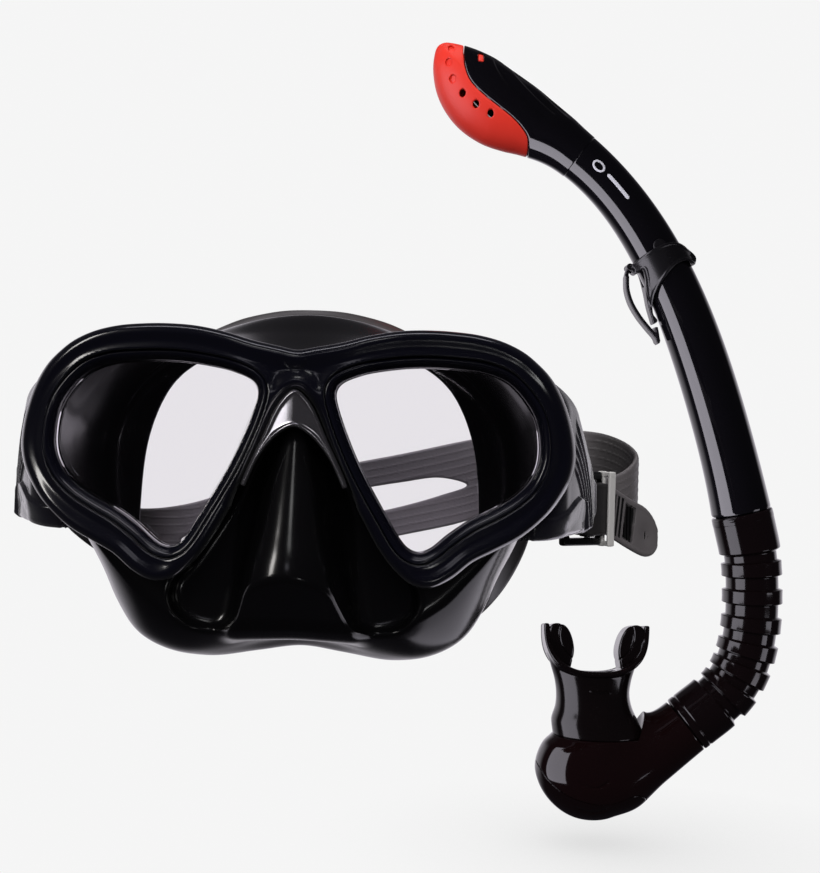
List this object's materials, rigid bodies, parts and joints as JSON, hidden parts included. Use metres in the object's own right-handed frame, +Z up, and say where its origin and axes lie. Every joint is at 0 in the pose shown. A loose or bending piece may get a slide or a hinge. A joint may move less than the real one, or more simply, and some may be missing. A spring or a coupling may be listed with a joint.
{
  "type": "snorkel mask",
  "caption": "Two-lens dive mask with silicone skirt, swinging buckles and split head strap, together with a flex-hose snorkel with splash cap, strap keeper, purge and bite mouthpiece.",
  "frame": {"origin": "on the strap's swing axis, midway between the two side arms, on the mask's mirror plane", "axes": "+Z up, -Y forward through the lenses (+Y to the wearer's face), +X to the wearer's left"},
  "size_m": [0.2867, 0.2218, 0.3267],
  "materials": {
    "frame_gloss": "high gloss black",
    "ring_gloss": "gloss black",
    "lens_glass": "clear, faint lilac tint",
    "skirt_silicone": "glossy black silicone",
    "trim_gloss": "gunmetal gloss",
    "arm_gloss": "high gloss black",
    "pin_steel": "satin",
    "buckle_black": "satin black",
    "buckle_bar": "satin silver",
    "roller_black": "satin black",
    "strap_rubber": "satin dark grey",
    "tube_gloss": "high gloss black",
    "cap_red": "satin orange-red",
    "keeper_black": "satin black",
    "hose_silicone": "glossy black silicone",
    "elbow_gloss": "high gloss black",
    "purge_gloss": "high gloss black",
    "valve_silicone": "translucent silicone",
    "bite_silicone": "satin black silicone"
  },
  "bodies": {
    "mask": {"frame": "frame_gloss", "lens_ring_left": "ring_gloss", "lens_ring_right": "ring_gloss", "lens_left": "lens_glass", "lens_right": "lens_glass", "skirt": "skirt_silicone", "bridge_trim": "trim_gloss", "side_arm_left": "arm_gloss", "side_arm_right": "arm_gloss", "pivot_pin_left": "pin_steel", "pivot_pin_right": "pin_steel"},
    "strap_set": {"buckle_left": "buckle_black", "buckle_right": "buckle_black", "clamp_bar_left": "buckle_bar", "clamp_bar_right": "buckle_bar", "roller_pin_left": "pin_steel", "roller_pin_right": "pin_steel", "head_strap": "strap_rubber"},
    "roller_left": {"strap_roller_left": "roller_black"},
    "roller_right": {"strap_roller_right": "roller_black"},
    "snorkel": {"snorkel_tube": "tube_gloss", "top_housing": "tube_gloss", "splash_cap": "cap_red", "flex_hose": "hose_silicone"},
    "keeper": {"keeper_ring": "keeper_black"},
    "keeper_gate": {"keeper_gate": "keeper_black"},
    "elbow": {"elbow": "elbow_gloss", "purge_cover": "purge_gloss"},
    "mouthpiece": {"mouthpiece": "bite_silicone"},
    "purge_valve": {"purge_valve": "valve_silicone"}
  },
  "joints": [
    {"name": "strap_swing", "type": "hinge", "parent": "mask", "child": "strap_set", "pos_m": [0, 0, 0], "axis": [1, 0, 0], "range_deg": [-25, 25]},
    {"name": "roller_left_turn", "type": "hinge", "parent": "strap_set", "child": "roller_left", "pos_m": [0.09258, 0.01525, -0.0022], "axis": [0, 0, 1], "continuous": true},
    {"name": "roller_right_turn", "type": "hinge", "parent": "strap_set", "child": "roller_right", "pos_m": [-0.08575, 0.01994, 0.002], "axis": [0, 0, 1], "continuous": true},
    {"name": "snorkel_shift", "type": "slide", "parent": "mask", "child": "snorkel", "axis": [1, 0, 0], "range_m": [0, 0.04]},
    {"name": "keeper_turn", "type": "hinge", "parent": "snorkel", "child": "keeper", "pos_m": [0.1387, 0.142, 0.0935], "axis": [0.4592, 0, -0.8883], "range_deg": [-60, 60]},
    {"name": "keeper_gate_open", "type": "hinge", "parent": "keeper", "child": "keeper_gate", "pos_m": [0.1237, 0.142, 0.094], "axis": [0, 1, 0], "range_deg": [0, 35]},
    {"name": "hose_flex", "type": "hinge", "parent": "snorkel", "child": "elbow", "pos_m": [0.1753, 0.142, -0.075], "axis": [0, 1, 0], "range_deg": [-50, 20], "deforming": ["flex_hose"]},
    {"name": "mouthpiece_turn", "type": "hinge", "parent": "elbow", "child": "mouthpiece", "pos_m": [0.1152, 0.142, -0.098], "axis": [0, 0, 1], "range_deg": [-20, 20]},
    {"name": "purge_lift", "type": "slide", "parent": "elbow", "child": "purge_valve", "axis": [0, 0, -1], "range_m": [0, 0.0015]}
  ]
}
